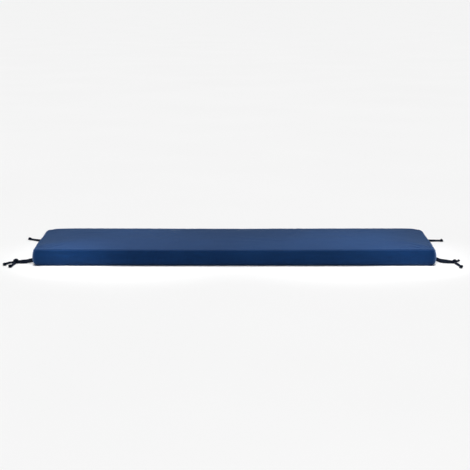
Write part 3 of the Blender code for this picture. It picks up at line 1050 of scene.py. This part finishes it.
# Soft creases of the boxing: the middle of each one, its half sizes, its depth, and how far it leans for
# each metre up. The y says which long side it is on.
creases = table(
    "x y z tall wide depth lean",
    (-0.268, -0.24, 0.014, 0.012, 0.010, -0.0016, 0.4),
    (0.388, -0.24, 0.026, 0.016, 0.007, -0.0012, 0.1),
    (0.412, -0.24, 0.030, 0.015, 0.007, -0.0010, -0.2),
    (-0.700, -0.24, 0.030, 0.022, 0.010, -0.0015, 0.7),
    (0.690, -0.24, 0.032, 0.022, 0.010, -0.0014, -0.7),
    (0.060, -0.24, 0.020, 0.014, 0.012, -0.0008, 0.2),
    (-0.480, 0.24, 0.030, 0.016, 0.010, -0.0012, 0.3),
    (0.210, 0.24, 0.024, 0.014, 0.009, -0.0012, -0.4),
    (0.600, 0.24, 0.032, 0.018, 0.009, -0.0011, 0.5),
    (-0.610, -0.24, 0.045, 0.0045, 0.110, -0.0014, 0.0),
    (-0.480, -0.24, 0.035, 0.0050, 0.090, -0.0012, 0.0),
    (-0.160, -0.24, 0.024, 0.0060, 0.080, -0.0012, 0.0),
    (0.300, -0.24, 0.044, 0.0045, 0.100, -0.0012, 0.0),
    (0.620, -0.24, 0.030, 0.0055, 0.085, -0.0013, 0.0),
    (-0.250, 0.24, 0.040, 0.0050, 0.120, -0.0013, 0.0),
    (0.420, 0.24, 0.034, 0.0050, 0.100, -0.0012, 0.0),
)


def addCreases(points):
    for crease in creases:
        near = hump(points[:, 1] - crease["y"], 0.02)
        along = points[:, 0] - crease["x"] - crease["lean"] * (points[:, 2] - crease["z"])
        rise = (points[:, 2] - crease["z"]) / crease["tall"]
        depth = crease["depth"] * near * np.exp(-((along / crease["wide"]) ** 2) - rise**2)
        points[:, 1] += np.sign(crease["y"]) * depth
    return points


# Soft folds of the top panel: the middle of each one, its turn in degrees, its half sizes and its depth.
topFolds = table(
    "x y turn long wide depth",
    (-0.310, 0.000, -62.0, 0.085, 0.013, -0.0020),
    (-0.255, 0.060, -48.0, 0.060, 0.011, 0.0015),
    (-0.120, 0.105, 24.0, 0.100, 0.015, -0.0016),
    (0.060, -0.090, -18.0, 0.090, 0.014, -0.0015),
    (0.235, 0.030, 70.0, 0.080, 0.012, -0.0018),
    (0.405, -0.040, -55.0, 0.070, 0.012, -0.0016),
    (0.520, 0.090, 38.0, 0.085, 0.013, -0.0018),
    (-0.500, 0.050, 14.0, 0.110, 0.014, -0.0016),
)
# Folds that fan in from each corner, where the cover is gathered over the filling.
cornerFolds = {
    "seed": 11,
    "count": 6,
    "long": (0.045, 0.120),
    "wide": (0.0055, 0.0095),
    "depth": (0.0016, 0.0030),
    "firstTurn": 8,
    "fan": 74,
    "fromCorner": 0.010,
    "tightShare": 0.6,
    "spread": 0.9,
    "seamFade": 0.006,
}


def addTopFolds(points, inset):
    count = len(inset)
    x, y = points[:count, 0], points[:count, 1]
    rise = np.zeros(count)
    for fold in topFolds:
        turn = math.radians(fold["turn"])
        along = (x - fold["x"]) * math.cos(turn) + (y - fold["y"]) * math.sin(turn)
        across = (y - fold["y"]) * math.cos(turn) - (x - fold["x"]) * math.sin(turn)
        rise += fold["depth"] * np.exp(-((along / fold["long"]) ** 2) - (across / fold["wide"]) ** 2)
    chance = np.random.default_rng(cornerFolds["seed"])
    for sideX, sideY in ((-1, -1), (1, -1), (1, 1), (-1, 1)):
        for index in range(cornerFolds["count"]):
            share = (index + chance.uniform(0.2, 0.8)) / cornerFolds["count"]
            turn = math.radians(cornerFolds["firstTurn"] + cornerFolds["fan"] * share)
            long, wide, depth = (chance.uniform(*cornerFolds[name]) for name in ("long", "wide", "depth"))
            offX = pad["length"] / 2 - cornerFolds["fromCorner"] - x * sideX
            offY = pad["depth"] / 2 - cornerFolds["fromCorner"] - y * sideY
            along = (offX * math.cos(turn) + offY * math.sin(turn)) / long
            across = offY * math.cos(turn) - offX * math.sin(turn)
            spread = wide * (cornerFolds["tightShare"] + cornerFolds["spread"] * np.clip(along, 0, 1))
            # The fold is at its deepest half way along, and ends at both of its ends.
            window = np.clip(4 * along * (1 - along), 0, 1)
            rise -= depth * window * hump(across, spread)
    points[:count, 2] += rise * (1 - np.exp(-inset / cornerFolds["seamFade"]))
    return points


# The inputs of the group that draws the cover in at its seams.
seams = {
    "Seam Depth": 0.0011,
    "Seam Width": 0.0012,
    "Ridge Height": 0.0008,
    "Gather Height": 0.0030,
    "Gather Reach": 0.0200,
    "Gather Pitch": 0.0170,
    "Wander": 0.0016,
    "Ripple Height": 0.0018,
    "Ripple Size": 0.085,
    "Seed": 4.0,
    "Cover": coverMaterial,
}
# How the cloth behaves beside the seams, in metres or as shares.
seamPlay = {
    "patchScale": 9.0,
    "leastGather": 0.15,
    "lowerGather": 0.7,
    "wanderScale": 6.0,
    "wanderReach": 0.05,
    "lowerGroove": 0.8,
    "ridgeAt": 0.0050,
    "ridgeWidth": 0.0026,
    "rippleFrom": 0.03,
    "movedUnder": 0.0035,
}


def makeSeamGroup():
    # Draws the cover in at its two seams, with uneven gathers beside them.
    tree = bpy.data.node_groups.new("seams", "GeometryNodeTree")
    sizes = [(name, "NodeSocketFloat") for name in seams if name != "Cover"]
    start, end = groupSockets(tree, [*sizes, ("Cover", "NodeSocketMaterial")])
    inputs = {name: Field(tree, start.outputs[name]) for name, kind in sizes}
    width, reach, seed = (inputs[name] for name in ("Seam Width", "Gather Reach", "Seed"))

    def attribute(name, kind="FLOAT"):
        return addNode(tree, "GeometryNodeInputNamedAttribute", {"data_type": kind}, {"Name": name})

    gap, lower = attribute("seamGap"), attribute("lowerGap")
    away = calc(tree, "ABSOLUTE", gap)
    beside = attribute("beside", "FLOAT_VECTOR")
    # Gathers come in patches, and are weaker along the lower seam.
    gather = addNoise(tree, beside, 1.0 / inputs["Gather Pitch"], 2.0, seed, 0.55) - 0.5
    patchy = addNoise(tree, beside, seamPlay["patchScale"], 1.0, seed + 7.0)
    amount = calc(tree, "MAXIMUM", (patchy - 0.30) * 2.2, seamPlay["leastGather"])
    shoulder = fallOff(tree, away, reach) * (1.0 - bell(tree, gap, width))
    lowerShoulder = fallOff(tree, calc(tree, "ABSOLUTE", lower), reach) * seamPlay["lowerGather"]
    gathers = gather * amount * (shoulder + lowerShoulder) * inputs["Gather Height"] * 2.0
    # The seam's line wanders, and its thread draws the cover in.
    slow = addNoise(tree, beside, seamPlay["wanderScale"], 2.0, seed + 3.0) - 0.5
    wander = slow * inputs["Wander"] * fallOff(tree, away, seamPlay["wanderReach"])
    groove = bell(tree, gap, width) + bell(tree, lower, width) * seamPlay["lowerGroove"]
    # The seam allowance inside lifts a low ridge on each side of the seam.
    ridge = bell(tree, away - seamPlay["ridgeAt"], seamPlay["ridgeWidth"]) * inputs["Ridge Height"]
    # The filling makes the cover ripple where it is away from the seam.
    place = addNode(tree, "GeometryNodeInputPosition")
    ripple = addNoise(tree, place, 1.0 / inputs["Ripple Size"], 1.5, seed + 11.0) - 0.5
    inside = 1.0 - fallOff(tree, away, seamPlay["rippleFrom"])
    ripples = ripple * inside * inputs["Ripple Height"] * 2.0
    lift = gathers + wander - groove * inputs["Seam Depth"] + ridge + ripples
    # The underside stays flat.
    lift = lift * calc(tree, "GREATER_THAN", lower, -seamPlay["movedUnder"])
    normal = addNode(tree, "GeometryNodeInputNormal")
    offset = addNode(tree, "ShaderNodeVectorMath", {"operation": "SCALE"}, {0: normal, "Scale": lift})
    placed = {"Geometry": start.outputs["Geometry"], "Offset": offset}
    moved = addNode(tree, "GeometryNodeSetPosition", {}, placed)
    return finishGroup(tree, moved, start.outputs["Cover"], end)


seamStitch = {"lift": 0.0004}


def makePad():
    fine = buildPad(fineness["shown"])
    points = fine["points"]
    coarse = buildPad(fineness["simulated"])
    points = points + transferMove(simulate(coarse), coarse, fine)
    points = addTopFolds(addCreases(points), fine["inset"])
    points[:, 2] = np.maximum(points[:, 2], 0)
    piece = finishMesh("cushionCover", points, fine["faces"], coverMaterial, fine["maps"])
    for name in ("seamGap", "lowerGap"):
        layer = piece.data.attributes.new(name, "FLOAT", "POINT")
        layer.data.foreach_set("value", fine[name].astype(np.float32))
    layer = piece.data.attributes.new("beside", "FLOAT_VECTOR", "POINT")
    beside = np.column_stack([fine["beside"], np.zeros(len(points))])
    layer.data.foreach_set("vector", beside.astype(np.float32).ravel())
    runGroup(piece, makeSeamGroup(), seams)
    places = np.empty(len(piece.data.vertices) * 3, np.float32)
    piece.data.vertices.foreach_get("co", places)
    places = places.reshape(-1, 3)
    places[:, 2] = np.maximum(places[:, 2], 0)
    piece.data.vertices.foreach_set("co", places.ravel())
    piece.data.update()
    # The seam's thread shows as short stitches down in the joint.
    line = places[fine["seamLoop"]]
    outward = np.column_stack([line[:, :2] - fine["inner"][fine["seamLoop"]], np.zeros(len(line))])
    outward /= np.maximum(np.linalg.norm(outward, axis=1), 1e-9)[:, None]
    line = line + (outward * 0.7 + np.array((0, 0, 0.7))) * seamStitch["lift"]
    return piece, np.vstack([line, line[:1]])


cushion, seamLine = makePad()
dress(cushion, "cover", "cushion")
seamThread = makeStitches("cushionSeamStitches", seamLine)
dress(seamThread, "cover")
print("cushion made", len(cushion.data.polygons), "faces")

# A wide pale floor under a soft dome of light that is brightest overhead.
room = {
    "half": 400.0,
    "dark": (0.86, 0.86, 0.86),
    "pale": (0.89, 0.89, 0.89),
    "roughness": 0.8,
    "specular": 0.1,
}


def makeFloor():
    half = room["half"]
    material, tree, shader = startMaterial("floor")
    place = addNode(tree, "ShaderNodeTexCoord", output=3)
    cloud = addNoise(tree, place, 0.8, 2.0)
    feed(tree, shader.inputs["Base Color"], mixColours(tree, cloud, room["dark"], room["pale"]))
    shader.inputs["Roughness"].default_value = room["roughness"]
    shader.inputs["Specular IOR Level"].default_value = room["specular"]
    corners = [(-half, -half, 0), (half, -half, 0), (half, half, 0), (-half, half, 0)]
    finishMesh("floor", corners, [(0, 1, 2, 3)], material)


dome = {"toward": (0.0, 0.0, 1.0), "rim": 0.05, "middle": 4.1, "power": 6.0, "backdrop": 0.95}
# Each end has a lamp in front, for the front and the ends, and one overhead, for the top.
lights = table(
    "name place aim side spread watts",
    ("leftFront", (-0.75, -1.90, 3.20), (-0.60, -0.27, 0.045), 0.14, 6, 0.145),
    ("rightFront", (0.75, -1.90, 3.20), (0.66, -0.27, 0.045), 0.14, 6, 0.125),
    ("leftOverhead", (-0.60, 0.30, 2.60), (-0.42, -0.08, 0.06), 0.40, 20, 0.58),
    ("rightOverhead", (0.60, 0.30, 2.60), (0.44, -0.08, 0.06), 0.40, 20, 0.64),
)


def makeLights():
    for light in lights:
        data = bpy.data.lights.new(light["name"], "AREA")
        data.size = light["side"]
        data.energy = light["watts"]
        data.spread = math.radians(light["spread"])
        lamp = placeObject(light["name"], data)
        turn = (Vector(light["aim"]) - Vector(light["place"])).to_track_quat("-Z", "Y")
        lamp.matrix_world = Matrix.Translation(light["place"]) @ turn.to_matrix().to_4x4()
    world = bpy.data.worlds.new("world")
    world.use_nodes = True
    tree = world.node_tree
    back = tree.nodes["Background"]
    back.inputs["Color"].default_value = (1, 1, 1, 1)
    outward = addNode(tree, "ShaderNodeTexCoord")
    facing = vectorCalc(tree, "DOT_PRODUCT", outward, dome["toward"], output=1)
    glow = calc(tree, "MAXIMUM", facing, 0.0) ** dome["power"] * dome["middle"] + dome["rim"]
    seen = addNode(tree, "ShaderNodeLightPath")
    feed(tree, back.inputs["Strength"], glow * (1.0 - seen) + seen * dome["backdrop"])
    bpy.context.scene.world = world
    bpy.context.scene.view_settings.view_transform = "Standard"
    bpy.context.scene.view_settings.look = "None"


makeFloor()
makeLights()
print("floor and lights made")
